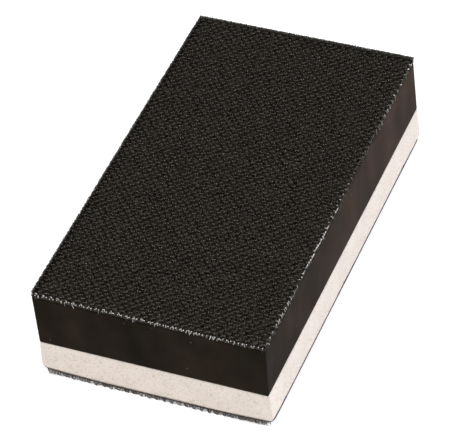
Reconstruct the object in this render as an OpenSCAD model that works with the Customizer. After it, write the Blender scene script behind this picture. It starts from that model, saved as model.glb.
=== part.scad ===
// Double-sided hand sanding block for hook-and-loop abrasive sheets.
// A firm foam slab is laminated to a thinner soft foam slab, and a woven hook tape is
// bonded to each outer face, so either side can carry a sheet. The block lies on its
// soft side. Origin at the centre of the underside, +Z up, +Y along the length.
// All sizes are in millimetres.

/* [Block] */
// Width of the block and of the abrasive sheets it takes
block_w = 70; // [40:1:120]
// Length of the block and of the abrasive sheets it takes
block_l = 125; // [80:1:250]

/* [Foam] */
// Thickness of the firm foam slab
firm_foam_h = 18.15; // [5:0.05:40]
// Thickness of the soft foam slab
soft_foam_h = 10.8; // [3:0.1:30]
// How far each long side of the soft foam springs out at its lower face once it is cut
soft_flare = 0.6; // [0:0.1:2]

/* [Hook tape] */
// Height of the hooks above the ground cloth
hook_h = 1.3; // [0.5:0.1:3]
// Thickness of the woven ground cloth
cloth_h = 0.4; // [0.2:0.05:1]
// Thickness of the resin coat that locks the hooks into the back of the cloth
backing_h = 0.1; // [0.05:0.05:0.5]

/* [Adhesive] */
// Thickness of each adhesive film
glue_h = 0.15; // [0.05:0.05:0.5]

/* [Hidden] */
// Underside of each layer above the lowest one, from the table up
z_soft_cloth = hook_h;
z_soft_backing = z_soft_cloth + cloth_h;
z_soft_glue = z_soft_backing + backing_h;
z_soft_foam = z_soft_glue + glue_h;
z_middle_glue = z_soft_foam + soft_foam_h;
z_firm_foam = z_middle_glue + glue_h;
z_firm_glue = z_firm_foam + firm_foam_h;
z_firm_backing = z_firm_glue + glue_h;
z_firm_cloth = z_firm_backing + backing_h;
z_firm_hooks = z_firm_cloth + cloth_h;

// One flat layer with the block's outline: its underside at z, and h thick
module layer(z, h) {
    translate([-block_w / 2, -block_l / 2, z])
        cube([block_w, block_l, h]);
}

// The envelope of the hook pile under the soft side; the block rests on it
module soft_side_hooks() {
    color([0.10, 0.10, 0.10]) layer(0, hook_h);
}

module soft_side_cloth() {
    color([0.13, 0.12, 0.11]) layer(z_soft_cloth, cloth_h);
}

module soft_side_backing() {
    color([0.19, 0.16, 0.14]) layer(z_soft_backing, backing_h);
}

module soft_side_adhesive() {
    color([0.64, 0.60, 0.56]) layer(z_soft_glue, glue_h);
}

// The soft slab: block_w wide where it meets the firm slab, and soft_flare wider
// on each long side at its lower face
module soft_foam() {
    top_x = block_w / 2;
    low_x = top_x + soft_flare;
    color([0.91, 0.87, 0.83])
        translate([0, block_l / 2, z_soft_foam])
            rotate([90, 0, 0])
                linear_extrude(height = block_l)
                    polygon([[-low_x, 0], [low_x, 0], [top_x, soft_foam_h], [-top_x, soft_foam_h]]);
}

module laminating_adhesive() {
    color([0.14, 0.13, 0.12]) layer(z_middle_glue, glue_h);
}

module firm_foam() {
    color([0.16, 0.14, 0.13]) layer(z_firm_foam, firm_foam_h);
}

module firm_side_adhesive() {
    color([0.14, 0.13, 0.12]) layer(z_firm_glue, glue_h);
}

module firm_side_backing() {
    color([0.15, 0.14, 0.13]) layer(z_firm_backing, backing_h);
}

module firm_side_cloth() {
    color([0.13, 0.12, 0.11]) layer(z_firm_cloth, cloth_h);
}

// The envelope of the hook pile on the firm side
module firm_side_hooks() {
    color([0.10, 0.10, 0.10]) layer(z_firm_hooks, hook_h);
}

soft_side_hooks();
soft_side_cloth();
soft_side_backing();
soft_side_adhesive();
soft_foam();
laminating_adhesive();
firm_foam();
firm_side_adhesive();
firm_side_backing();
firm_side_cloth();
firm_side_hooks();
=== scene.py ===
import math

import bpy
import numpy as np
from mathutils import Matrix, Vector


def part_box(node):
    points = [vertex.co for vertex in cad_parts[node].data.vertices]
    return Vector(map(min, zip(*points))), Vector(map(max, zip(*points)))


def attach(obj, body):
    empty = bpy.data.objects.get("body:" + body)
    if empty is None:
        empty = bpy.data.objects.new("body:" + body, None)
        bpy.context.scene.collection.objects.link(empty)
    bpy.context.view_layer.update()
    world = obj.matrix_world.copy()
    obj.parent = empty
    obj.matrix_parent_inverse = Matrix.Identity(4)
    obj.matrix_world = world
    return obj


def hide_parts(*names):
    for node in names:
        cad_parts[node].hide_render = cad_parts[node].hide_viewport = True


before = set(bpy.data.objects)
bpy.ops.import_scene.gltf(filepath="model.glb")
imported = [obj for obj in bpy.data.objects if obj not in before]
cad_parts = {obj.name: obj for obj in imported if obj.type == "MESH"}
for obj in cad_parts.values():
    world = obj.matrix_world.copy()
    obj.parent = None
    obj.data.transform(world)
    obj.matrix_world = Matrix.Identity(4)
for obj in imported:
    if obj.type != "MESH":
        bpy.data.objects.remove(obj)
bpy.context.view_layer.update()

MM = 0.001
SEED = 70125

# The block's own sizes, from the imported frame, in metres
FIRM_LOW, FIRM_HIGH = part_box("firm_foam")
SOFT_LOW, SOFT_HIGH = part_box("soft_foam")
HALF_W = FIRM_HIGH.x
HALF_L = FIRM_HIGH.y
SOFT_FLARE = SOFT_HIGH.x - HALF_W
TOP_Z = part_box("firm_side_hooks")[1].z
PILE_H = TOP_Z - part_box("firm_side_cloth")[1].z
CLOTH_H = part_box("firm_side_cloth")[1].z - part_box("firm_side_cloth")[0].z

# The cut outline: its corners, and how far the firm half's +X side is out of square
CORNER_R = 0.5 * MM
OUT_OF_SQUARE = 0.45 * MM

# How far the soft side's front corners lift, and how far across, back and up that reaches
CORNER_LIFT = 0.85 * MM
CURL_ACROSS = 19 * MM
CURL_BACK = 2.5 * MM
CURL_UP = 12 * MM

# The foam's cut faces: their grid, the waves of the cut, and the rounding of their edges
FOAM_STEP = 0.36 * MM
CUT_WAVE = 0.035 * MM
TOP_WAVE = 0.03 * MM
FOAM_EDGE = 0.22 * MM
# How many cell pits each slab has, and their typical radius and depth
FIRM_PITS = (900, 0.30 * MM, 0.02 * MM)
SOFT_PITS = (2600, 0.28 * MM, 0.04 * MM)
# The soft foam swells just above its tape, which holds its lower edge in: heights above that
# edge, and the share of the flare at each
BULGE = ((0, 0.5 * MM, 1.0 * MM, 1.7 * MM), (0.36, 0.70, 0.91, 1.0))

# The bonded films: their grid, how unevenly their edge runs, and how far each stops short
FILM_STEP = 0.8 * MM
FILM_WAVE = 0.05 * MM
LAMINATING_INSET = 0.12 * MM
BOND_INSET = 0.08 * MM
COAT_INSET = 0.05 * MM

# The hook tape: a staggered lattice of hooks, half a repeat apart from column to column.
# The columns and rows are counted from the middle, and reach past the outline.
COLUMN_PITCH = 1.153 * MM
ROW_PITCH = 2.40 * MM
COLUMNS = np.arange(-33, 34)
HALF_ROWS = np.arange(-54, 55)
COLUMN_SHIFT = {"firm_side": -0.74 * MM, "soft_side": 0.31 * MM}
COLUMN_SLANT = {"firm_side": 0.0135, "soft_side": 0.002}
ROW_SHIFT = {"firm_side": -0.18 * MM, "soft_side": -0.02 * MM}
ROW_SLANT = {"firm_side": -0.007, "soft_side": 0.0}

# The ground cloth's weave: its yarn repeats, and how far it stops inside the outline
WARP = 0.64 * MM
WEFT = 0.60 * MM
WEAVE_RISE = 0.08 * MM
WEAVE_SINK = 0.05 * MM
WEAVE_NOISE = 0.015 * MM
CLOTH_INSET = 0.05 * MM

# One hook: an arch of bent filament, turned from the X axis, that leans along the length.
# Its height is a share of the pile's; its tip's drop and the short legs' height are in mm.
FILAMENT_R = 0.135 * MM
HOOK_HALF = 0.62 * MM
CROWN_RISE = 0.7
HOOK_TURN = math.radians(20)
HOOK_LEAN = {"firm_side": -0.20, "soft_side": -0.06}
HOOK_HEIGHT = (0.93, 1.0)
TIP_DROP = (0.3, 0.55)
SHORT_LEG = (0.2, 0.5)
BENT_SHARE = 0.03
PALE_SHARE = 0.12
# How deep in the cloth the strands are rooted: the whole hooks, and the ones that were cut
ROOT_DEPTH = 0.15 * MM
CUT_ROOT_DEPTH = 0.38 * MM

# The soft side's tape spreads with its foam, is tucked in at its corners, and is bare of
# hooks along its long edges
SOFT_SPREAD = 1.0095
CORNER_TUCK = 0.45 * MM
CORNER_REACH = 1.8 * MM
SELVEDGE = 0.9 * MM

# The cut through the firm side's filament: how far past the outline a strand is kept, and
# then pressed back to, and how far in from it the blade has bruised and frayed it
CUT_KEEP = 0.06 * MM
CUT_BURR = 0.03 * MM
BRUISE_REACH = 0.28 * MM
FRAY_REACH = 0.25 * MM
FRAY = 0.03 * MM
STRETCH_POINTS = 9
# How many of the cut ends are bruised white along the +X edge: places in mm, front to back,
# and the share there; and elsewhere but at the front
BRUISED = [(-62, 1.0), (-44, 1.0), (-40, 0.3), (-36, 1.0), (-2, 1.0), (10, 0.1), (34, 0.1), (46, 0.45)]
BRUISED_ELSEWHERE = 0.05
# The filament's runs along the cloth, beside their column, and how close to an edge they show
RUN_OFFSET = 0.17 * MM
RUN_STOPS = 106
RUN_REACH = 0.30 * MM
RUN_ACROSS = (0.2, 0.1, 1.0)

# The firm side's loose fibres: each edge's outward direction, the way it runs, and how many
# it has; and their radius in mm, at the root and at the tip
FRAYED_EDGES = [((0, -1), (1, 0), 26), ((1, 0), (0, 1), 44), ((0, 1), (1, 0), 16), ((-1, 0), (0, 1), 22)]
FIBRE_R = (0.045, 0.025)

# The fringe of cut legs: their pitch along the firm side's -X and back edges, how deep in
# they stand in mm, and how far the back ones splay out
LEG_PITCH = 0.09 * MM
BACK_LEG_PITCH = 0.65 * LEG_PITCH
LEG_DEPTH = (0.13, 0.5)
LEG_HEIGHT = (0.95, 1.03)
LEG_ROOM = 0.2 * MM
BACK_SPLAY = 0.42 * MM
# The soft side's legs, beside the end of each column: places, the share left, and depth in mm
EDGE_COLUMNS = np.arange(-30, 31)
SOFT_LEG_PLACES = (0, 0.20 * MM, 0.36 * MM)
SOFT_LEG_SHARE = 0.42
SOFT_LEG_DEPTH = (0.10, 0.5)

# The ends that hang over the firm side's front edge, left and right of a place on it: the
# share of the columns that have one, the longest in mm, and the tilt's mean and spread
HANG_SPLIT = 11 * MM
HANG_LEFT = (0.22, 1.25, 0.1, 0.35)
HANG_RIGHT = (0.8, 0.9, -0.4, 0.25)
# The same over the +X edge, by rows, where there are more near the front
HANG_ROWS = np.arange(-26, 27)
HANG_NEAR = 4 * MM
HANG_NEAR_SHARE = 0.95
HANG_FAR_SHARE = 0.35
HANG_SIDE_LONGEST = 0.8
HANG_SIDE_TILT = (-0.1, 0.3)
# Over both: the shortest in mm, the shares that are white at the front and far along the +X
# edge, the room left at the corners, and how high above the cloth's face they start
HANG_SHORTEST = 0.3
HANG_WHITE = 0.75
HANG_FAR_WHITE = 0.25
HANG_ROOM = 0.3 * MM
HANG_START = 0.12 * MM


# ---------------------------------------------------------------- mesh helpers
def unit(v):
    return v / np.maximum(np.linalg.norm(v, axis=-1, keepdims=True), 1e-12)


def trimmed(points):
    """The firm half is cut a little out of square: its +X side runs out at the front
    and in at the back, most at the top."""
    low = SOFT_HIGH.z
    rise = np.clip((points[:, 2] - low) / (TOP_Z - low), 0, 1)
    side = np.clip(points[:, 0] / HALF_W, 0, None)
    out = points.copy()
    out[:, 0] -= OUT_OF_SQUARE * points[:, 1] / HALF_L * side * rise
    return out


def fill_mesh(mesh, points, groups):
    """Puts points and groups of (corner indices (faces, corners), material number, smooth)
    into an empty mesh."""
    corners = np.concatenate([g[0].ravel() for g in groups]).astype(np.int32)
    sizes = np.concatenate([np.full(len(g[0]), g[0].shape[1]) for g in groups])
    starts = np.concatenate([[0], np.cumsum(sizes)[:-1]]).astype(np.int32)
    numbers = np.concatenate([np.full(len(g[0]), g[1]) for g in groups]).astype(np.int32)
    smooth = np.concatenate([np.full(len(g[0]), g[2]) for g in groups]).astype(bool)
    mesh.vertices.add(len(points))
    mesh.vertices.foreach_set("co", points.astype(np.float32).ravel())
    mesh.loops.add(len(corners))
    mesh.loops.foreach_set("vertex_index", corners)
    mesh.polygons.add(len(sizes))
    mesh.polygons.foreach_set("loop_start", starts)
    mesh.polygons.foreach_set("material_index", numbers)
    mesh.polygons.foreach_set("use_smooth", smooth)


def new_piece(name, points, groups, materials, nodes):
    """One mesh piece in the row frame that rides on the block."""
    mesh = bpy.data.meshes.new(name)
    for m in materials:
        mesh.materials.append(m)
    fill_mesh(mesh, trimmed(np.asarray(points, float)), groups)
    mesh.update(calc_edges=True)
    mesh.validate()
    piece = bpy.data.objects.new(name, mesh)
    bpy.context.scene.collection.objects.link(piece)
    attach(piece, "root")
    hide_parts(*nodes)
    return piece


def tubes(paths, radii, across, sides=6):
    """Closed tubes along many paths with the same number of points.
    paths is (n, k, 3), radii (n, k), and across (n, 3) is square to each path's plane."""
    n, k = paths.shape[:2]
    along = unit(np.gradient(paths, axis=1))
    out = unit(np.cross(across[:, None, :], along))
    side = np.cross(along, out)
    turn = 2 * math.pi * np.arange(sides) / sides
    ring = np.cos(turn)[:, None] * out[:, :, None, :] + np.sin(turn)[:, None] * side[:, :, None, :]
    points = paths[:, :, None, :] + radii[:, :, None, None] * ring
    index = np.arange(n * k * sides).reshape(n, k, sides)
    low, high = index[:, :-1], index[:, 1:]
    walls = np.stack([low, np.roll(low, -1, 2), np.roll(high, -1, 2), high], axis=-1)
    ends = np.concatenate([index[:, 0, ::-1], index[:, -1]])
    return points.reshape(-1, 3), walls.reshape(n, k - 1, sides, 4), ends


def rounded_outline(half_w, half_l, radius, step):
    """Points round a rounded rectangle, counter-clockwise from above, and their outward
    directions."""
    points, outs = [], []
    centres = [(1, -1), (1, 1), (-1, 1), (-1, -1)]
    for i, (sx, sy) in enumerate(centres):
        centre = np.array([sx * (half_w - radius), sy * (half_l - radius)])
        start = -math.pi / 2 + i * math.pi / 2
        turn = start + np.linspace(0, math.pi / 2, 7)
        arc = np.stack([np.cos(turn), np.sin(turn)], axis=1)
        points.append(centre + radius * arc)
        outs.append(arc)
        after = centres[(i + 1) % 4]
        corner = np.array([after[0] * (half_w - radius), after[1] * (half_l - radius)])
        out = arc[-1]
        begin = points[-1][-1]
        end = corner + radius * out
        count = max(2, round(np.linalg.norm(end - begin) / step))
        share = np.arange(1, count)[:, None] / count
        points.append(begin + share * (end - begin))
        outs.append(np.repeat(out[None], count - 1, axis=0))
    return np.concatenate(points), np.concatenate(outs)


def length_along(points):
    """How far along the line each of its points lies."""
    return np.concatenate([[0], np.cumsum(np.linalg.norm(np.diff(points, axis=0), axis=1))])


def ring_groups(rings, ring_size):
    """Faces of a closed body made of rings of points, the lowest ring first."""
    index = np.arange(rings * ring_size).reshape(rings, ring_size)
    a, b = index[:-1], index[1:]
    wall = np.stack([a, np.roll(a, -1, 1), np.roll(b, -1, 1), b], axis=-1).reshape(-1, 4)
    return [(wall, 0, True), (index[0][::-1][None], 0, False), (index[-1][None], 0, False)]


def wander(along, amount, rng, longest=60 * MM, shortest=6 * MM, waves=7):
    """A smooth irregular line: a few sine waves of random length and phase."""
    total = np.zeros_like(along)
    for _ in range(waves):
        length = math.exp(rng.uniform(math.log(shortest), math.log(longest)))
        total += np.sin(2 * math.pi * along / length + rng.uniform(0, 2 * math.pi))
    return amount * total / math.sqrt(waves)


def curl(points):
    """How far the soft side's corners at the front lift off the floor, less and less with
    the height above it."""
    across = np.clip(1 - (HALF_W - np.abs(points[..., 0])) / CURL_ACROSS, 0, 1.05) ** 1.5
    along = np.exp(-np.clip(HALF_L + points[..., 1], 0, None) / CURL_BACK)
    return CORNER_LIFT * across * along * np.clip(1 - points[..., 2] / CURL_UP, 0, 1)


# ---------------------------------------------------------------- foam
def pitted(rows, cols, step, count, radius, depth, rng):
    """A relief map of a cut foam face: cell pits of random size, in metres, below zero."""
    relief = np.zeros((rows, cols))
    for _ in range(count):
        r = radius * math.exp(rng.normal(0, 0.35))
        d = depth * math.exp(rng.normal(0, 0.5))
        ci, cj = rng.uniform(0, rows), rng.uniform(0, cols)
        reach = int(2 * r / step) + 1
        i = np.arange(max(0, int(ci) - reach), min(rows, int(ci) + reach + 1))
        j = np.arange(int(cj) - reach, int(cj) + reach + 1)
        gap = np.hypot((i - ci)[:, None], (j - cj)[None]) * step / r
        relief[np.ix_(i, j % cols)] -= d * np.exp(-2 * gap**2)
    return relief


def cut_face(ring, share, height, pits, rng):
    """How far a slab's side stands out from its outline, at each share of the height: cell
    pits, the cut's waves, and the rounding at its two edges."""
    relief = pitted(len(share), len(ring), FOAM_STEP, *pits, rng)
    along = length_along(ring)
    low_wave = wander(along, CUT_WAVE, rng)
    top_wave = wander(along, TOP_WAVE, rng)
    relief += low_wave[None, :] + top_wave[None, :] * share[:, None]
    near = np.minimum(share, 1 - share) * height
    inside = np.maximum(FOAM_EDGE**2 - np.maximum(FOAM_EDGE - near, 0) ** 2, 0)
    return relief - (FOAM_EDGE - np.sqrt(inside))[:, None]


def foam_slab(name, low, high, flare, pits, materials, nodes, rng):
    """A foam slab with softly rounded edges, a slightly wavy cut and open cells on its
    sides."""
    ring, outs = rounded_outline(HALF_W, HALF_L, CORNER_R, FOAM_STEP)
    rows = max(6, round((high - low) / FOAM_STEP))
    share = np.linspace(0, 1, rows + 1)
    push = cut_face(ring, share, high - low, pits, rng)
    grow = flare * np.interp(share * (high - low), *BULGE) * (1 - share) ** 0.8
    points = np.zeros((rows + 1, len(ring), 3))
    points[:, :, 0] = ring[:, 0] + outs[:, 0] * (push + grow[:, None])
    points[:, :, 1] = ring[:, 1] + outs[:, 1] * push
    points[:, :, 2] = (low + share * (high - low))[:, None]
    points[:, :, 2] += curl(points)
    groups = ring_groups(*points.shape[:2])
    return new_piece(name, points.reshape(-1, 3), groups, materials, nodes)


# ---------------------------------------------------------------- thin films
def film(name, node, inset, materials, rng):
    """A thin bonded film whose edge stops a little short of, or creeps a little past, the
    cut."""
    low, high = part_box(node)[0].z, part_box(node)[1].z
    ring, outs = rounded_outline(HALF_W, HALF_L, CORNER_R, FILM_STEP)
    along = length_along(ring)
    levels = np.array([0, 0.25, 0.75, 1])
    bulge = np.array([-0.02, 0, 0, -0.02]) * MM
    points = np.zeros((len(levels), len(ring), 3))
    for i, share in enumerate(levels):
        push = wander(along, FILM_WAVE, rng, shortest=2 * MM) * 0.3 - inset + bulge[i]
        points[i, :, :2] = ring + outs * push[:, None]
        points[i, :, 2] = low + share * (high - low)
    points[:, :, 2] += curl(points)
    groups = ring_groups(*points.shape[:2])
    return new_piece(name, points.reshape(-1, 3), groups, materials, [node])


# ---------------------------------------------------------------- hook tape
def placed(points, side):
    """Tape points, made with the cloth's face at z = 0 and the hooks pointing up, moved to
    the firm side, or turned over about the block's length for the soft side."""
    out = points.copy()
    if side == "firm_side":
        out[:, 2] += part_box("firm_side_cloth")[1].z
        return out
    out[:, 0] *= -SOFT_SPREAD
    tuck = CORNER_TUCK * np.clip(1 - cut_corner(out) / CORNER_REACH, 0, 1)
    out[:, :2] -= np.sign(out[:, :2]) * tuck[:, None]
    out[:, 2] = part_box("soft_side_cloth")[0].z - out[:, 2]
    out[:, 2] += curl(out)
    return out


def tape_piece(name, side, points, groups, materials, node):
    """A piece of the tape on its side of the block."""
    return new_piece(f"{side}_{name}", placed(points, side), groups, materials, [f"{side}_{node}"])


def column_x(side, i, y):
    return i * COLUMN_PITCH + COLUMN_SHIFT[side] + COLUMN_SLANT[side] * y


def row_y(side, j, x):
    return j * ROW_PITCH / 2 + ROW_SHIFT[side] + ROW_SLANT[side] * x


def hook_sites(side):
    """Where the hooks stand: each one's column, and the middle of its arch. Those that the
    cut hit or left out are among them."""
    i, j = [a.ravel() for a in np.meshgrid(COLUMNS, HALF_ROWS, indexing="ij")]
    keep = (i + j) % 2 == 0
    i, j = i[keep], j[keep]
    y = row_y(side, j, i * COLUMN_PITCH)
    return i, np.stack([column_x(side, i, y), y], axis=1)


def cut_corner(points):
    """How far inside the cut outline's nearest corner each point is, along the edges."""
    return np.maximum(HALF_W - np.abs(points[..., 0]), HALF_L - np.abs(points[..., 1]))


def cut_distance(points):
    """How far inside the cut outline each point is: negative outside."""
    return np.minimum(HALF_W - np.abs(points[..., 0]), HALF_L - np.abs(points[..., 1]))


def weave(nx, ny, rng):
    """The cloth's face: a grid of points that rises and sinks with the yarns."""
    wave_x = np.cos(math.pi * np.arange(nx + 1))
    wave_y = np.cos(math.pi * np.arange(ny + 1))
    over = 0.5 * (wave_x[:, None] + wave_y[None])
    top = np.zeros((nx + 1, ny + 1, 3))
    top[:, :, 0] = np.linspace(-HALF_W + CLOTH_INSET, HALF_W - CLOTH_INSET, nx + 1)[:, None]
    top[:, :, 1] = np.linspace(-HALF_L + CLOTH_INSET, HALF_L - CLOTH_INSET, ny + 1)[None]
    top[:, :, 2] = WEAVE_RISE * over - WEAVE_SINK + rng.normal(0, WEAVE_NOISE, over.shape)
    return top


def woven_cloth(side, materials, rng):
    """The ground cloth: a plain weave of ground yarns as a relief on a closed sheet."""
    nx = round(2 * (HALF_W - CLOTH_INSET) / (WARP / 2))
    ny = round(2 * (HALF_L - CLOTH_INSET) / (WEFT / 2))
    top = weave(nx, ny, rng).reshape(-1, 3)
    index = np.arange((nx + 1) * (ny + 1)).reshape(nx + 1, ny + 1)
    faces = np.stack([index[:-1, :-1], index[1:, :-1], index[1:, 1:], index[:-1, 1:]], axis=-1)
    rim = np.concatenate([index[:-1, 0], index[-1, :-1], index[:0:-1, -1], index[0, :0:-1]])
    low = top[rim].copy()
    low[:, 2] = -CLOTH_H
    base = np.arange(len(rim)) + index.size
    wall = np.stack([base, np.roll(base, -1), np.roll(rim, -1), rim], axis=-1)
    points = np.concatenate([top, low])
    groups = [(faces.reshape(-1, 4), 0, True), (wall, 0, False), (base[::-1][None], 0, False)]
    return tape_piece("ground_cloth", side, points, groups, materials, "cloth")


def arch(half, crown, drop, root_depth):
    """The profile of each hook, across and up: from its root in the cloth, over the crown,
    and down to the cut tip."""
    s = [-half, -half - 0.02 * MM]
    z = [np.full(len(half), -root_depth), 0.5 * crown]
    for turn in np.radians([180, 148, 115, 90, 65, 32, 0]):
        s.append(half * math.cos(turn))
        z.append(crown + CROWN_RISE * half * math.sin(turn))
    s.append(half * 0.95)
    z.append(crown - drop)
    return np.stack(s, axis=1), np.stack(z, axis=1)


def build_strands(side, sites, root_depth, rng):
    """Hook and short-leg paths (sites, points, 3) from root_depth deep in the cloth, and
    each arch's across direction."""
    n = len(sites)
    half = HOOK_HALF * rng.normal(1, 0.05, n)
    height = PILE_H * rng.uniform(*HOOK_HEIGHT, n)
    drop = rng.uniform(*TIP_DROP, n) * MM
    s, z = arch(half, height - FILAMENT_R - CROWN_RISE * half, drop, root_depth)
    turn = HOOK_TURN + rng.normal(0, math.radians(6), n)
    way = np.stack([np.cos(turn), np.sin(turn)], axis=1)
    lean = rng.normal(0, 0.08, (n, 2)) + [0, HOOK_LEAN[side]]
    bent = rng.random(n) < BENT_SHARE
    lean[bent] = rng.normal(0, 0.3, (bent.sum(), 2))
    hooks = standing(sites, s, z, way, lean)
    hooks[bent, :, 2] *= 0.92
    tall = rng.uniform(*SHORT_LEG, n) * MM
    s = np.repeat(half[:, None], 3, axis=1)
    z = np.stack([np.full(n, -root_depth), 0.4 * tall, tall], axis=1)
    legs = standing(sites, s, z, way, rng.normal(0, 0.10, (n, 2)))
    across = np.stack([way[:, 1], -way[:, 0], np.zeros(n)], axis=1)
    return hooks, legs, across


def standing(sites, s, z, way, lean):
    """Paths in upright planes through the sites, leaning a little."""
    flat = sites[:, None, :] + s[:, :, None] * way[:, None, :] + z[:, :, None] * lean[:, None, :]
    return np.concatenate([flat, z[:, :, None]], axis=2)


def strand_groups(walls, ends, pale):
    """Faces of whole strands: black, but for the few pale cut faces at their ends."""
    white = np.concatenate([pale, pale])
    return [(walls.reshape(-1, 4), 0, True), (ends[~white], 0, False), (ends[white], 1, False)]


def whole_hooks(side, numbers, sites, looks, rng):
    """The hooks that the cut missed, as one piece for each set of columns, and their short
    legs."""
    pieces = []
    materials = [looks["filament"], looks["cut_filament"]]
    hooks, legs, across = build_strands(side, sites, ROOT_DEPTH, rng)
    pale = rng.random(len(sites)) < PALE_SHARE
    for name, odd in (("hooks_even_columns", 0), ("hooks_odd_columns", 1)):
        pick = numbers % 2 == odd
        radii = np.full(hooks[pick].shape[:2], FILAMENT_R)
        points, walls, ends = tubes(hooks[pick], radii, across[pick])
        groups = strand_groups(walls, ends, pale[pick])
        pieces.append(tape_piece(name, side, points, groups, materials, "hooks"))
    points, walls, ends = tubes(legs, np.full(legs.shape[:2], FILAMENT_R), across)
    groups = strand_groups(walls, ends, rng.random(len(sites)) < PALE_SHARE)
    pieces.append(tape_piece("cut_legs", side, points, groups, materials, "hooks"))
    return pieces


# ---------------------------------------------------------------- the cut through the tape
def kept_stretch(path):
    """The longest stretch of a path inside the cut outline, as even points, or None."""
    fine = np.linspace(0, len(path) - 1, 12 * len(path))
    dense = np.stack([np.interp(fine, np.arange(len(path)), path[:, a]) for a in range(3)], axis=1)
    inside = cut_distance(dense) > -CUT_KEEP
    best, start = (0, 0), None
    for at, kept in enumerate(np.append(inside, False)):
        if kept and start is None:
            start = at
        if not kept and start is not None:
            best = max(best, (at - start, start))
            start = None
    if best[0] < 4:
        return None
    dense = dense[best[1] : best[1] + best[0]]
    length = length_along(dense)
    even = np.linspace(0, length[-1], STRETCH_POINTS)
    return np.stack([np.interp(even, length, dense[:, a]) for a in range(3)], axis=1)


def long_edge_run(side, i, begin, end, rng):
    """One run of column i's filament along a long edge, from about begin to about end."""
    start = begin + rng.uniform(0.0, 0.4) * MM
    stop = end + rng.uniform(-0.6, 0.0) * MM
    line = np.linspace(start, stop, 5)
    level = rng.uniform(-0.1, 0.35) * MM
    lift = level + rng.uniform(0, 0.25) * MM * np.sin(np.linspace(0, math.pi, 5))
    across = column_x(side, i, line) + RUN_OFFSET + rng.normal(0, 0.10) * MM
    return np.stack([across, line, lift], axis=1)


def short_edge_end(side, i, end, rng):
    """The cut end of a run of column i at the front (end -1) or the back, bent up a little."""
    x = column_x(side, i, end * HALF_L) + rng.normal(0, 0.08) * MM
    z = rng.uniform(0.0, 0.5) * MM
    y = end * (HALF_L - np.linspace(0.5, -0.1, 5) * MM)
    return np.stack([np.full(5, x), y, np.linspace(0, z, 5)], axis=1)


def ground_runs(side, rng):
    """The filament's runs along the cloth, between one hook of a column and the next, near
    the outline: whole along a long edge, and a short end at each short edge."""
    paths = []
    y = np.linspace(-HALF_L, HALF_L, RUN_STOPS)
    for i in COLUMNS:
        x = column_x(side, i, y) + RUN_OFFSET
        near = np.abs(np.abs(x) - HALF_W) < RUN_REACH
        for at in np.flatnonzero(near[:-1] & near[1:]):
            paths.append(long_edge_run(side, i, y[at], y[at + 1], rng))
        for end in (-1, 1):
            paths.append(short_edge_end(side, i, end, rng))
    return paths


def bruised_share(points):
    """The chance that a cut end at each point is bruised white: all of them at the front,
    few at the back and the -X edge, and some stretches of the +X edge."""
    y = [place * MM for place, _ in BRUISED]
    share = np.interp(points[:, 1], y, [share for _, share in BRUISED])
    share = np.where(HALF_W - points[:, 0] < HALF_L - points[:, 1], share, BRUISED_ELSEWHERE)
    share = np.where(HALF_W + points[:, 0] < MM, BRUISED_ELSEWHERE, share)
    return np.where(HALF_L + points[:, 1] < np.minimum(HALF_W - points[:, 0], MM), 1.0, share)


def cut_strands(side, sites, rng):
    """What the cut left of the strands that it hit: their paths, each one's across direction,
    and which of them are runs along the cloth."""
    hooks, legs, across = build_strands(side, sites, CUT_ROOT_DEPTH, rng)
    runs = ground_runs(side, rng)
    kept = [kept_stretch(path) for path in [*hooks, *legs, *runs]]
    flags = np.array([path is not None for path in kept])
    planes = np.concatenate([across, across, np.tile(unit(np.array(RUN_ACROSS)), (len(runs), 1))])
    is_run = np.arange(len(kept)) >= 2 * len(hooks)
    return np.stack([path for path in kept if path is not None]), planes[flags], is_run[flags]


def bruised_groups(points, walls, ends, slots):
    """Faces of cut strands: black, but in each strand's own material close to the cut."""
    groups = []
    for faces, owner, smooth in (
        (walls.reshape(-1, 4), np.repeat(slots, walls[0].size // 4), True),
        (ends, np.concatenate([slots, slots]), False),
    ):
        number = np.where(cut_distance(points[faces].mean(axis=1)) < BRUISE_REACH, owner, 0)
        groups += [(faces[number == k], k, smooth) for k in (0, 1, 2, 3)]
    return groups


def cut_edges(side, sites, looks, rng):
    """The filament that the cut went through, bruised white by the blade in places."""
    paths, planes, is_run = cut_strands(side, sites, rng)
    frayed = cut_distance(paths) < FRAY_REACH
    paths += np.where(frayed[:, :, None], rng.normal(0, FRAY, paths.shape), 0)
    points, walls, ends = tubes(paths, np.full(paths.shape[:2], FILAMENT_R), planes)
    points[:, 0] = np.clip(points[:, 0], -HALF_W - CUT_BURR, HALF_W + CUT_BURR)
    points[:, 1] = np.clip(points[:, 1], -HALF_L - CUT_BURR, HALF_L + CUT_BURR)
    marked = rng.random(len(paths)) < bruised_share(paths.mean(axis=1))
    slots = np.where(marked, np.where(is_run, 3, 1), 2)
    kinds = ("filament", "cut_filament", "dull_filament", "bright_filament")
    materials = [looks[kind] for kind in kinds]
    groups = bruised_groups(points, walls, ends, slots)
    return tape_piece("cut_edges", side, points, groups, materials, "hooks")


def fibre_path(out, along, rng):
    """A fine fibre from a random place on the edge that faces out, drooping past it."""
    at = rng.uniform(-1, 1)
    root = out * [HALF_W, HALF_L] + along * at * [HALF_W - MM, HALF_L - MM]
    t = np.linspace(0, 1, 6)[:, None]
    flat = root + out * (0.03 + rng.uniform(0.02, 0.18) * t) * MM
    flat = flat + along * (rng.normal(0, 0.35) * t + rng.normal(0, 0.2) * t**2) * MM
    z = (rng.uniform(-0.3, 0.4) - rng.uniform(0.2, 1.3) * t**1.3) * MM
    return np.concatenate([flat, z], axis=1)


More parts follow.
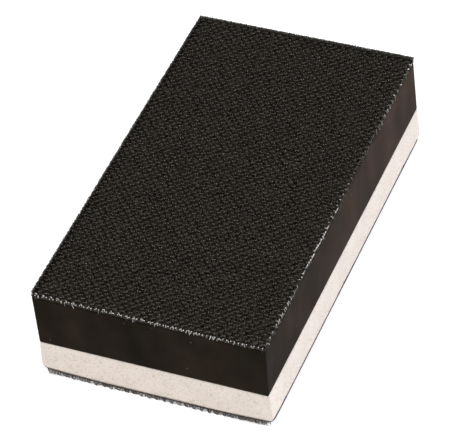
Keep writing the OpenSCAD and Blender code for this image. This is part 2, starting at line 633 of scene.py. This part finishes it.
def frayed_fibres(side, looks, rng):
    """Fine fibres of the ground yarns that the cut left hanging out of the cloth's edge."""
    paths = []
    for out, along, count in FRAYED_EDGES:
        for _ in range(count):
            paths.append(fibre_path(np.array(out), np.array(along), rng))
    paths = np.stack(paths)
    radii = np.linspace(*FIBRE_R, paths.shape[1])[None] * MM * np.ones((len(paths), 1))
    across = np.tile(unit(np.array([0.6, 0.7, 0.1])), (len(paths), 1))
    points, walls, ends = tubes(paths, radii, across, sides=5)
    groups = [(walls.reshape(-1, 4), 0, True), (ends, 0, False)]
    return tape_piece("frayed_fibres", side, points, groups, [looks["fibre"]], "cloth")


def dense_roots(rng):
    """Where the firm side's fringe stands, close along its -X and back edges, and the way
    the edge runs at each leg."""
    y = np.linspace(-HALF_L + LEG_ROOM, HALF_L - LEG_ROOM, int(2 * HALF_L / LEG_PITCH))
    left = np.stack([np.full(len(y), -HALF_W) + rng.uniform(*LEG_DEPTH, len(y)) * MM, y], axis=1)
    x = np.linspace(-HALF_W + LEG_ROOM, HALF_W - LEG_ROOM, int(2 * HALF_W / BACK_LEG_PITCH))
    back = np.stack([x, np.full(len(x), HALF_L) - rng.uniform(*LEG_DEPTH, len(x)) * MM], axis=1)
    along = [np.tile([0.0, 1.0], (len(left), 1)), np.tile([1.0, 0.0], (len(back), 1))]
    return np.concatenate([left, back]), np.concatenate(along)


def sparse_roots(side, rng):
    """Where the soft side's fringe stands, in ones and twos at its columns' ends along its
    short edges, and the way those edges run."""
    roots = []
    for end in (-1, 1):
        places = np.tile(SOFT_LEG_PLACES, len(EDGE_COLUMNS))
        x = np.repeat([column_x(side, i, end * HALF_L) for i in EDGE_COLUMNS], len(SOFT_LEG_PLACES))
        x = x + places + rng.normal(0, 0.05 * MM, len(x))
        x = x[(rng.random(len(x)) < SOFT_LEG_SHARE) & (np.abs(x) < HALF_W - LEG_ROOM)]
        y = end * (HALF_L - rng.uniform(*SOFT_LEG_DEPTH, len(x)) * MM)
        roots.append(np.stack([x, y], axis=1))
    roots = np.concatenate(roots)
    return roots, np.tile([1.0, 0.0], (len(roots), 1))


def fringe_paths(roots, along, at_back, rng):
    """Upright legs as tall as the pile that sway along their edge, most at the tip."""
    n = len(roots)
    tall = PILE_H * rng.uniform(*LEG_HEIGHT, n)
    t = np.array([-0.12, 0.35, 0.7, 0.9, 1.0])
    sway = rng.normal(0, 0.10, n)[:, None] * t
    sway = sway + rng.normal(0, 0.30, n)[:, None] * np.maximum(t - 0.6, 0)
    paths = np.zeros((n, len(t), 3))
    paths[:, :, :2] = roots[:, None, :] + along[:, None, :] * (sway * PILE_H)[:, :, None]
    paths[:, :, :2] += rng.normal(0, 0.05, (n, 1, 2)) * MM * np.maximum(t, 0)[None, :, None]
    paths[at_back, :, 1] += BACK_SPLAY * np.maximum(t, 0)
    paths[:, :, 2] = tall[:, None] * t
    return paths


def edge_legs(side, looks, rng):
    """The legs of the hooks that the cut went through, matted into a fringe as tall as the
    pile: dense along the firm side's -X and back edges, and in ones and twos along
    the soft side's short edges."""
    roots, along = dense_roots(rng) if side == "firm_side" else sparse_roots(side, rng)
    at_back = (roots[:, 1] > HALF_L - MM) & (side == "firm_side")
    paths = fringe_paths(roots, along, at_back, rng)
    across = np.stack([along[:, 1], along[:, 0], np.full(len(along), 0.1)], axis=1)
    points, walls, ends = tubes(paths, np.full(paths.shape[:2], FILAMENT_R), unit(across), sides=5)
    groups = [(walls.reshape(-1, 4), 0, True), (ends, 0, False)]
    return tape_piece("edge_legs", side, points, groups, [looks["fringe"]], "hooks")


def hung_down(root, out, along, long, tilt):
    """A strand rooted in the cloth at root, bent over its edge and hanging down by long."""
    t = np.linspace(0, 1, 7)
    flat = np.array(root) + np.array(out) * (-0.10 + 0.25 * np.minimum(1, 2.5 * t))[:, None] * MM
    flat = flat + np.array(along) * (tilt * long * t**1.5)[:, None]
    z = HANG_START - (long + HANG_START) * t**1.6
    return np.concatenate([flat, z[:, None]], axis=1)


def front_ends(side, rng):
    """The ends that hang over the front edge, and whether each one is dull or white."""
    paths, dull = [], []
    for i in EDGE_COLUMNS:
        x = column_x(side, i, -HALF_L) + rng.normal(0, 0.15) * MM
        share, longest, tilt, spread = HANG_RIGHT if x > HANG_SPLIT else HANG_LEFT
        if abs(x) > HALF_W - HANG_ROOM or rng.random() > share:
            continue
        long = rng.uniform(HANG_SHORTEST, longest) * MM
        paths.append(hung_down([x, -HALF_L], [0, -1], [1, 0], long, rng.normal(tilt, spread)))
        dull.append(rng.random() >= HANG_WHITE)
    return paths, dull


def side_ends(rng):
    """The ends that hang over the +X edge, and whether each one is dull or white."""
    paths, dull = [], []
    for j in HANG_ROWS:
        y = j * ROW_PITCH + rng.normal(0, 0.2) * MM
        near = y < -HALF_L + HANG_NEAR
        share = HANG_NEAR_SHARE if near else HANG_FAR_SHARE
        if abs(y) > HALF_L - HANG_ROOM or rng.random() > share:
            continue
        long = rng.uniform(HANG_SHORTEST, HANG_SIDE_LONGEST) * MM
        paths.append(hung_down([HALF_W, y], [1, 0], [0, 1], long, rng.normal(*HANG_SIDE_TILT)))
        dull.append(not (near or rng.random() < HANG_FAR_WHITE))
    return paths, dull


def hanging_ends(side, looks, rng):
    """Hook legs that the cut set free, bent down over the front and the +X edges."""
    paths, dull = front_ends(side, rng)
    more_paths, more_dull = side_ends(rng)
    paths = np.stack(paths + more_paths)
    owner = np.array(dull + more_dull)
    radii = np.full(paths.shape[:2], 0.85 * FILAMENT_R)
    across = np.tile(unit(np.array([0.7, 0.7, 0.1])), (len(paths), 1))
    points, walls, ends = tubes(paths, radii, across)
    groups = []
    for number in (0, 1):
        groups.append((walls[owner == number].reshape(-1, 4), number, True))
        groups.append((ends[np.tile(owner, 2) == number], number, False))
    materials = [looks["cut_filament"], looks["dull_filament"]]
    return tape_piece("hanging_ends", side, points, groups, materials, "hooks")


def sorted_sites(side, sites):
    """Which hooks stand whole, and which ones the firm side's cut went through. The soft
    side's stop short of its long edges, and reach out to its short ones."""
    reach_x = HOOK_HALF * math.cos(HOOK_TURN) + FILAMENT_R
    reach_y = HOOK_HALF * math.sin(HOOK_TURN) + FILAMENT_R
    room_x, room_y = HALF_W - np.abs(sites[:, 0]), HALF_L - np.abs(sites[:, 1])
    if side == "soft_side":
        return (room_x > reach_x + SELVEDGE) & (room_y > 0), np.zeros(len(sites), bool)
    whole = (room_x > reach_x) & (room_y > reach_y)
    return whole, ~whole & (room_x > -reach_x) & (room_y > -reach_y)


def hook_tape(side, looks, seed):
    """One side's tape: its ground cloth, a soft sheet, with the hooks, legs, cut ends and
    loose fibres that are fast to it."""
    rng = np.random.default_rng(SEED + seed)
    numbers, sites = hook_sites(side)
    whole, hit = sorted_sites(side, sites)
    cloth = woven_cloth(side, [looks["cloth"]], rng)
    parts = whole_hooks(side, numbers[whole], sites[whole], looks, rng)
    parts.append(edge_legs(side, looks, rng))
    if side == "firm_side":
        parts.append(cut_edges(side, sites[hit], looks, rng))
        parts.append(frayed_fibres(side, looks, rng))
        parts.append(hanging_ends(side, looks, rng))


# ---------------------------------------------------------------- materials
WHITE = (1, 1, 1)
BLACK = (0, 0, 0)

# The darkest and the lightest colour of each material, or of a layer of it, in linear light
TONES = {
    "black_filament": ((0.0065, 0.0056, 0.0044), (0.0145, 0.0126, 0.0100)),
    # The fringe's filament: lighter than the hooks' as painted light, lifting the shade along the cut
    # edges
    "fringe_filament_painted_light": ((0.020, 0.018, 0.014), (0.042, 0.038, 0.030)),
    # The soft side's filament: lighter and browner than the firm side's
    "lighter_brown_filament": ((0.030, 0.023, 0.019), (0.070, 0.054, 0.046)),
    "whitened_filament_ends": ((0.12, 0.115, 0.105), (0.55, 0.53, 0.50)),
    "whitened_filament_runs": ((0.30, 0.285, 0.265), (0.85, 0.81, 0.77)),
    "dull_filament_ends": ((0.05, 0.048, 0.044), (0.16, 0.155, 0.14)),
    "loose_yarn_fibre": ((0.03, 0.028, 0.025), (0.22, 0.21, 0.19)),
    # The black cloth's lightest tone is painted glints of its yarns
    "black_woven_cloth": ((0.0010, 0.0009, 0.0008), (0.0515, 0.0428, 0.0325)),
    # The soft side's cloth: lighter and browner than the firm side's
    "lighter_brown_woven_cloth": ((0.020, 0.014, 0.011), (0.075, 0.056, 0.046)),
    "black_resin_coat": ((0.008, 0.0075, 0.0065), (0.030, 0.028, 0.025)),
    # The soft side's resin coat: lighter and browner than the firm side's
    "lighter_brown_resin_coat": ((0.030, 0.021, 0.017), (0.070, 0.051, 0.042)),
    "contact_adhesive": ((0.008, 0.0065, 0.005), (0.026, 0.022, 0.018)),
    "milky_adhesive": ((0.28, 0.25, 0.22), (0.45, 0.41, 0.37)),
    "black_firm_foam": ((0.0058, 0.0044, 0.0021), (0.0120, 0.0100, 0.0056)),
    # The firm foam's far end: painted light, lighter and browner than its near end
    "firm_foam_painted_far_light": ((0.0200, 0.0125, 0.0080), (0.0390, 0.0265, 0.0190)),
    "firm_foam_specks": ((0.03, 0.026, 0.02), (0.08, 0.07, 0.058)),
    "white_soft_foam": ((0.595, 0.522, 0.463), (0.650, 0.574, 0.512)),
}
# What the firm foam's rubbed patches, and the soft foam's painted pore shade, multiply the colour by
FIRM_RUBBING = ((0.70, 0.74, 0.74), (1.28, 1.16, 1.18))
SOFT_PORE_SHADE = ((0.70, 0.69, 0.67), WHITE)
FIRM_SHEEN = (0.016, 0.037)
FIRM_SHEEN_TINT = (1.0, 0.62, 0.62, 1)
FILAMENT_SHINE_TINT = (1.0, 0.93, 0.84, 1)


def new_material(name):
    """A node material with object coordinates ready: the material, its tree, its shader and
    the coordinate output."""
    mat = bpy.data.materials.new(name)
    mat.use_nodes = True
    tree = mat.node_tree
    shader = tree.nodes["Principled BSDF"]
    place = tree.nodes.new("ShaderNodeTexCoord").outputs["Object"]
    return mat, tree, shader, place


def noise(tree, place, size, detail=3.0, rough=0.55):
    """Noise whose largest grains are about size metres across."""
    node = tree.nodes.new("ShaderNodeTexNoise")
    node.inputs["Scale"].default_value = 1 / size
    node.inputs["Detail"].default_value = detail
    node.inputs["Roughness"].default_value = rough
    tree.links.new(place, node.inputs["Vector"])
    return node.outputs["Fac"]


def upright(tree, place):
    """Coordinates squeezed upward, for marks twice as tall as they are wide."""
    node = tree.nodes.new("ShaderNodeMapping")
    node.inputs["Scale"].default_value = (1, 1, 0.5)
    tree.links.new(place, node.inputs["Vector"])
    return node.outputs["Vector"]


def cells(tree, place, size):
    """Distance to the nearest of the random points that lie about size metres apart."""
    node = tree.nodes.new("ShaderNodeTexVoronoi")
    node.inputs["Scale"].default_value = 1 / size
    tree.links.new(place, node.inputs["Vector"])
    return node.outputs["Distance"]


def two_tone(tree, value, tones, start=0.3, stop=0.7):
    """The first tone up to start, the second from stop on, and a blend in between."""
    node = tree.nodes.new("ShaderNodeValToRGB")
    node.color_ramp.elements[0].position = start
    node.color_ramp.elements[0].color = (*tones[0], 1)
    node.color_ramp.elements[1].position = stop
    node.color_ramp.elements[1].color = (*tones[1], 1)
    tree.links.new(value, node.inputs["Fac"])
    return node.outputs["Color"]


def spread_value(tree, value, low, high, start=0.3, stop=0.7):
    """Values from start to stop, spread over low to high."""
    node = tree.nodes.new("ShaderNodeMapRange")
    node.inputs["From Min"].default_value = start
    node.inputs["From Max"].default_value = stop
    node.inputs["To Min"].default_value = low
    node.inputs["To Max"].default_value = high
    tree.links.new(value, node.inputs["Value"])
    return node.outputs["Result"]


def mixed(tree, kind, share, a, b):
    """Colour b over colour a, by a fixed share or by a value that a node gives."""
    node = tree.nodes.new("ShaderNodeMix")
    node.data_type = "RGBA"
    node.blend_type = kind
    tree.links.new(a, node.inputs["A"])
    tree.links.new(b, node.inputs["B"])
    if isinstance(share, float):
        node.inputs["Factor"].default_value = share
    else:
        tree.links.new(share, node.inputs["Factor"])
    return node.outputs["Result"]


def bump(tree, shader, height, depth, strength=1.0):
    node = tree.nodes.new("ShaderNodeBump")
    node.inputs["Distance"].default_value = depth
    node.inputs["Strength"].default_value = strength
    tree.links.new(height, node.inputs["Height"])
    tree.links.new(node.outputs["Normal"], shader.inputs["Normal"])


def shade(shader, roughness, specular):
    shader.inputs["Roughness"].default_value = roughness
    shader.inputs["Specular IOR Level"].default_value = specular


def filament_material(name):
    """Hook filament: plastic with a dull, slightly warm shine."""
    mat, tree, shader, place = new_material(name)
    shade(shader, roughness=0.4, specular=0.82)
    shader.inputs["Specular Tint"].default_value = FILAMENT_SHINE_TINT
    fine = noise(tree, place, 0.9 * MM)
    tree.links.new(two_tone(tree, fine, TONES[name]), shader.inputs["Base Color"])
    tree.links.new(spread_value(tree, fine, 0.22, 0.36), shader.inputs["Roughness"])
    bump(tree, shader, noise(tree, place, 0.12 * MM), depth=0.01 * MM)
    return mat


def cut_filament_material(name):
    """Cut filament, whitened more or less by the blade."""
    mat, tree, shader, place = new_material(name)
    shade(shader, roughness=0.55, specular=0.3)
    fine = noise(tree, place, 0.5 * MM)
    tree.links.new(two_tone(tree, fine, TONES[name]), shader.inputs["Base Color"])
    bump(tree, shader, noise(tree, place, 0.08 * MM), depth=0.02 * MM)
    return mat


def fibre_material(name):
    mat, tree, shader, place = new_material(name)
    shade(shader, roughness=0.6, specular=0.3)
    fine = noise(tree, place, 0.8 * MM)
    tree.links.new(two_tone(tree, fine, TONES[name], 0.35, 0.65), shader.inputs["Base Color"])
    bump(tree, shader, noise(tree, place, 0.05 * MM), depth=0.01 * MM)
    return mat


def cloth_material(name):
    mat, tree, shader, place = new_material(name)
    shade(shader, roughness=0.8, specular=0.05)
    yarns = noise(tree, place, 0.5 * MM)
    # The yarns are darker and lighter at random; their lightest flecks are painted glints of the yarns
    tree.links.new(two_tone(tree, yarns, TONES[name], 0.40, 0.64), shader.inputs["Base Color"])
    bump(tree, shader, noise(tree, place, 0.10 * MM), depth=0.05 * MM)
    return mat


def film_material(name):
    mat, tree, shader, place = new_material(name)
    shade(shader, roughness=0.55, specular=0.2)
    fine = noise(tree, place, 2.0 * MM)
    tree.links.new(two_tone(tree, fine, TONES[name], 0.35, 0.7), shader.inputs["Base Color"])
    bump(tree, shader, fine, depth=0.03 * MM)
    return mat


def firm_foam_colour(tree, place, patch, rubbed):
    """Black, painted lighter and browner towards the block's far end as painted light, rubbed darker
    and lighter in patches, with a few pale specks."""
    clean = two_tone(tree, patch, TONES["black_firm_foam"])
    painted_far_light = two_tone(tree, patch, TONES["firm_foam_painted_far_light"])
    split = tree.nodes.new("ShaderNodeSeparateXYZ")
    tree.links.new(place, split.inputs[0])
    far = spread_value(tree, split.outputs["Y"], 0.0, 1.0, -HALF_L, HALF_L)
    # Painted light: lighter and browner towards the far end
    colour = mixed(tree, "MIX", far, clean, painted_far_light)
    colour = mixed(tree, "MULTIPLY", 1.0, colour, two_tone(tree, rubbed, FIRM_RUBBING))
    speck = two_tone(tree, cells(tree, place, 5.5 * MM), (WHITE, BLACK), 0.045, 0.07)
    pale = two_tone(tree, patch, TONES["firm_foam_specks"])
    return mixed(tree, "MIX", speck, colour, pale)


def firm_foam_material(name):
    """Matt black foam whose sheen is uneven, as it has been rubbed in patches."""
    mat, tree, shader, place = new_material(name)
    shade(shader, roughness=0.6, specular=0.013)
    shader.inputs["Sheen Tint"].default_value = FIRM_SHEEN_TINT
    patch = noise(tree, place, 8 * MM, detail=4)
    rubbed = noise(tree, upright(tree, place), 11 * MM, detail=2)
    sheen = spread_value(tree, rubbed, *FIRM_SHEEN, 0.35, 0.65)
    tree.links.new(sheen, shader.inputs["Sheen Weight"])
    colour = firm_foam_colour(tree, place, patch, rubbed)
    tree.links.new(colour, shader.inputs["Base Color"])
    tree.links.new(spread_value(tree, patch, 0.52, 0.66), shader.inputs["Roughness"])
    bump(tree, shader, cells(tree, place, 0.30 * MM), depth=0.04 * MM, strength=0.5)
    return mat


def soft_foam_material(name):
    """Off-white foam with painted shade in its open pores: darker specks."""
    mat, tree, shader, place = new_material(name)
    shade(shader, roughness=0.85, specular=0.3)
    patch = noise(tree, place, 9 * MM, detail=4)
    pore_shade = noise(tree, place, 0.55 * MM, detail=2)
    colour = two_tone(tree, patch, TONES[name])
    # Painted shade: the pores are darkened in the colour
    colour = mixed(tree, "MULTIPLY", 1.0, colour, two_tone(tree, pore_shade, SOFT_PORE_SHADE, 0.30, 0.45))
    tree.links.new(colour, shader.inputs["Base Color"])
    bump(tree, shader, cells(tree, place, 0.30 * MM), depth=0.05 * MM, strength=0.5)
    return mat


def floor_material(name, glow):
    """A white floor that glows a little, so that no shadow greys it."""
    mat, _, shader, _ = new_material(name)
    shade(shader, roughness=0.9, specular=0.0)
    shader.inputs["Base Color"].default_value = (0.90, 0.90, 0.90, 1)
    shader.inputs["Emission Color"].default_value = (*WHITE, 1)
    shader.inputs["Emission Strength"].default_value = glow
    return mat


# ---------------------------------------------------------------- studio
CAMERA_AZIMUTH = math.radians(26.32)
CAMERA_ELEVATION = math.radians(43.51)
CAMERA_ROLL = math.radians(-6.38)
CAMERA_DISTANCE = 829.5 * MM
CAMERA_SIDE = -1.29 * MM
CAMERA_RISE = -13.97 * MM
LENS_MM = 229.4
SENSOR_MM = 36.0
# The floor: its half size, and how far inside the block's outline its unlit middle stops
FLOOR_HALF = 3.0
FLOOR_GLOW = 0.35
COVER_INSET_X = 1.2 * MM
COVER_INSET_Y = 0.3 * MM
WORLD_LIGHT = 0.3
SIDE_TINT = (0.98, 1.035, 1.125)
LIGHT_TARGET = (0, 0, 0.02)
# Each softbox: its name, its place and its size in metres, its power and its colour
SOFTBOXES = [
    ("overhead_softbox", (0.0, 0.0, 1.3), 1.0, 2, WHITE),
    ("front_left_softbox", (-0.60, -0.75, 0.90), 0.3, 10.5, WHITE),
    ("right_softbox", (0.95, 0.0, 0.85), 0.3, 10.4, SIDE_TINT),
    ("back_right_softbox", (0.60, 0.55, 0.22), 0.3, 1.2, SIDE_TINT),
]


def add_camera():
    """A long lens from the front right, above the block and rolled a little."""
    level = Vector((math.cos(CAMERA_AZIMUTH), math.sin(CAMERA_AZIMUTH), 0))
    back = Vector((
        math.sin(CAMERA_AZIMUTH) * math.cos(CAMERA_ELEVATION),
        -math.cos(CAMERA_AZIMUTH) * math.cos(CAMERA_ELEVATION),
        math.sin(CAMERA_ELEVATION),
    ))
    rise = back.cross(level)
    c, s = math.cos(CAMERA_ROLL), math.sin(CAMERA_ROLL)
    right = level * c + rise * s
    up = rise * c - level * s
    data = bpy.data.cameras.new("camera")
    data.lens = LENS_MM
    data.sensor_width = SENSOR_MM
    data.clip_start = 0.05
    data.clip_end = 20
    cam = bpy.data.objects.new("camera", data)
    spot = Vector((0, 0, TOP_Z)) + right * CAMERA_SIDE + up * CAMERA_RISE + back * CAMERA_DISTANCE
    turn = Matrix((right, up, back)).transposed().to_4x4()
    cam.matrix_world = Matrix.Translation(spot) @ turn
    bpy.context.scene.collection.objects.link(cam)
    bpy.context.scene.camera = cam


def add_floor():
    """A floor of nine faces lit from inside, but for the middle one, which the block
    covers."""
    mesh = bpy.data.meshes.new("studio_floor")
    in_x, in_y = HALF_W - COVER_INSET_X, HALF_L - COVER_INSET_Y
    xs, ys = (-FLOOR_HALF, -in_x, in_x, FLOOR_HALF), (-FLOOR_HALF, -in_y, in_y, FLOOR_HALF)
    corners = [(x, y, 0) for y in ys for x in xs]
    faces = [(4 * j + i, 4 * j + i + 1, 4 * j + i + 5, 4 * j + i + 4) for j in range(3) for i in range(3)]
    mesh.from_pydata(corners, [], faces)
    mesh.materials.append(floor_material("lit_floor", FLOOR_GLOW))
    mesh.materials.append(floor_material("covered_floor", 0.0))
    mesh.polygons[len(faces) // 2].material_index = 1
    floor = bpy.data.objects.new("studio_floor", mesh)
    bpy.context.scene.collection.objects.link(floor)


def add_softbox(name, place, size, power, colour):
    """A square area light that faces the block."""
    data = bpy.data.lights.new(name, "AREA")
    data.shape = "SQUARE"
    data.size = size
    data.energy = power
    data.color = colour
    lamp = bpy.data.objects.new(name, data)
    lamp.location = place
    aim = Vector(LIGHT_TARGET) - Vector(place)
    lamp.rotation_euler = aim.to_track_quat("-Z", "Y").to_euler()
    bpy.context.scene.collection.objects.link(lamp)


def add_light():
    """An even white world and the softboxes."""
    world = bpy.data.worlds.new("studio")
    bpy.context.scene.world = world
    world.use_nodes = True
    sky = world.node_tree.nodes["Background"]
    sky.inputs["Color"].default_value = (*WHITE, 1)
    sky.inputs["Strength"].default_value = WORLD_LIGHT
    for softbox in SOFTBOXES:
        add_softbox(*softbox)
    bpy.context.scene.view_settings.view_transform = "Standard"


# ---------------------------------------------------------------- the block
def tape_looks():
    """The hook tape's materials. The soft side swaps some of them for lighter, browner ones."""
    return {
        "filament": filament_material("black_filament"),
        # The firm side's fringe is painted lighter than the hooks: painted light against the shade at the
        # cut edges
        "fringe": filament_material("fringe_filament_painted_light"),
        "cut_filament": cut_filament_material("whitened_filament_ends"),
        "bright_filament": cut_filament_material("whitened_filament_runs"),
        "dull_filament": cut_filament_material("dull_filament_ends"),
        "fibre": fibre_material("loose_yarn_fibre"),
        "cloth": cloth_material("black_woven_cloth"),
    }


def build():
    """The two foam slabs, the films between the layers, and the two tapes."""
    rng = np.random.default_rng(SEED)
    firm = foam_slab(
        "firm_foam_slab", FIRM_LOW.z, FIRM_HIGH.z, 0.0, FIRM_PITS,
        [firm_foam_material("black_firm_foam")], ["firm_foam"], rng,
    )
    soft = foam_slab(
        "soft_foam_slab", SOFT_LOW.z, SOFT_HIGH.z, SOFT_FLARE, SOFT_PITS,
        [soft_foam_material("white_soft_foam")], ["soft_foam"], rng,
    )
    contact = film_material("contact_adhesive")
    bonds = {"firm_side": contact, "soft_side": film_material("milky_adhesive")}
    # The soft side's resin coat is lighter and browner than the firm side's
    coats = {
        "firm_side": film_material("black_resin_coat"),
        "soft_side": film_material("lighter_brown_resin_coat"),
    }
    film("laminating_film", "laminating_adhesive", LAMINATING_INSET, [contact], rng)
    for side in ("firm_side", "soft_side"):
        film(side + "_bond", side + "_adhesive", BOND_INSET, [bonds[side]], rng)
        film(side + "_resin_coat", side + "_backing", COAT_INSET, [coats[side]], rng)
    looks = tape_looks()
    hook_tape("firm_side", looks, 1)
    # The soft side's filament and cloth are lighter and browner than the firm side's
    browner_filament = filament_material("lighter_brown_filament")
    browner_cloth = cloth_material("lighter_brown_woven_cloth")
    hook_tape("soft_side", {**looks, "filament": browner_filament, "fringe": browner_filament, "cloth": browner_cloth}, 2)


add_camera()
build()
add_floor()
add_light()
